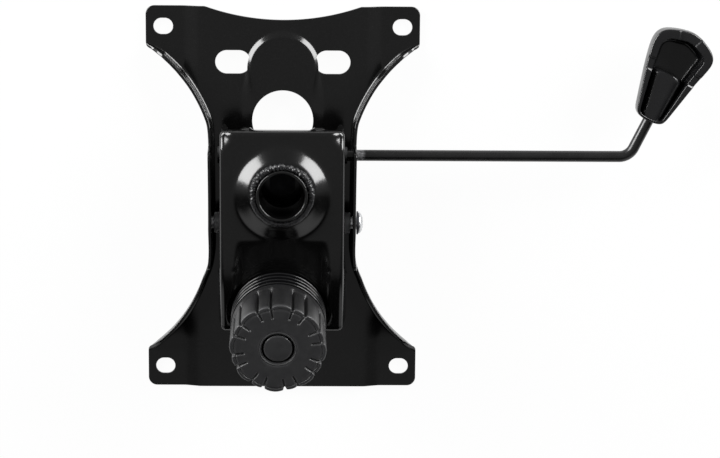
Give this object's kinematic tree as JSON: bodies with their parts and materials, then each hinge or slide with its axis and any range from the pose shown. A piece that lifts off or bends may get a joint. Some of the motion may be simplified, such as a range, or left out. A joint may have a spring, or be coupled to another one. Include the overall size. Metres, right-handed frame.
{
  "type": "office chair tilt mechanism",
  "caption": "Seat plate with a tilting column housing on an axle, a spring tension knob on an inclined bolt and a release lever with a hand grip.",
  "frame": {"origin": "centre of the four seat holes, on the mounting face of the seat plate", "axes": "+Z away from the seat, down when the chair is in use; +X to the lever side; +Y to the back of the chair"},
  "size_m": [0.3529, 0.246, 0.0911],
  "materials": {
    "powder_coated_plate": "satin black powder coat",
    "powder_coated_rod": "satin black powder coat",
    "zinc_plated_steel": "bright zinc plating",
    "dark_steel": "oiled dark steel",
    "spring_steel": "oil tempered wire",
    "rubber": "matt black rubber",
    "grey_nylon": "grey nylon",
    "black_nylon": "black nylon",
    "black_plastic": "moulded black plastic",
    "knob_plastic": "moulded dark grey nylon with a fine grain",
    "grip_plastic": "moulded black polypropylene"
  },
  "bodies": {
    "seat_frame": {"seat_plate": "powder_coated_plate", "bolt_saddle": "powder_coated_plate", "tension_bolt": "zinc_plated_steel", "pivot_axle": "zinc_plated_steel", "axle_washer": "dark_steel", "bump_pads": "rubber"},
    "base": {"housing": "powder_coated_plate", "column_socket": "powder_coated_plate", "weld_bead": "powder_coated_plate", "pivot_sleeve": "dark_steel", "pivot_bush_left": "grey_nylon", "pivot_bush_right": "grey_nylon", "lever_bush_left": "black_nylon", "lever_bush_right": "black_nylon", "spring_seat": "dark_steel", "tension_spring": "spring_steel", "ribbed_sleeve": "black_plastic"},
    "release": {"release_tube": "dark_steel", "release_tongue": "dark_steel"},
    "lever": {"lever_rod": "powder_coated_rod", "drive_pin": "zinc_plated_steel", "lever_grip": "grip_plastic"},
    "washer": {"thrust_washer": "zinc_plated_steel"},
    "knob": {"knob": "knob_plastic", "knob_nut": "zinc_plated_steel", "knob_cap": "knob_plastic"}
  },
  "joints": [
    {"name": "tilt", "type": "hinge", "parent": "seat_frame", "child": "base", "pos_m": [0, -0.011, 0.023], "axis": [-1, 0, 0], "range_deg": [0, 10], "stiffness_Nm_per_rad": 50, "springref_deg": -1.15, "deforming": ["tension_spring", "ribbed_sleeve"]},
    {"name": "lever_turn", "type": "hinge", "parent": "base", "child": "release", "pos_m": [0, 0.032, 0.022], "axis": [-1, 0, 0], "range_deg": [0, 12], "stiffness_Nm_per_rad": 1, "springref_deg": -5.73},
    {"name": "lever_slide", "type": "slide", "parent": "release", "child": "lever", "axis": [-1, 0, 0], "range_m": [0, 0.008]},
    {"name": "knob_travel", "type": "slide", "parent": "seat_frame", "child": "washer", "axis": [0, -0.2164, 0.9763], "range_m": [-0.004, 0.004], "deforming": ["tension_spring", "ribbed_sleeve"]},
    {"name": "knob_turn", "type": "hinge", "parent": "washer", "child": "knob", "pos_m": [-0.002, -0.0659, 0.03916], "axis": [0, -0.2164, 0.9763], "range_deg": [-960, 960]}
  ],
  "couplings": [
    {"joint": "knob_turn", "follows": "knob_travel", "rad_per_m": 4188.8}
  ]
}
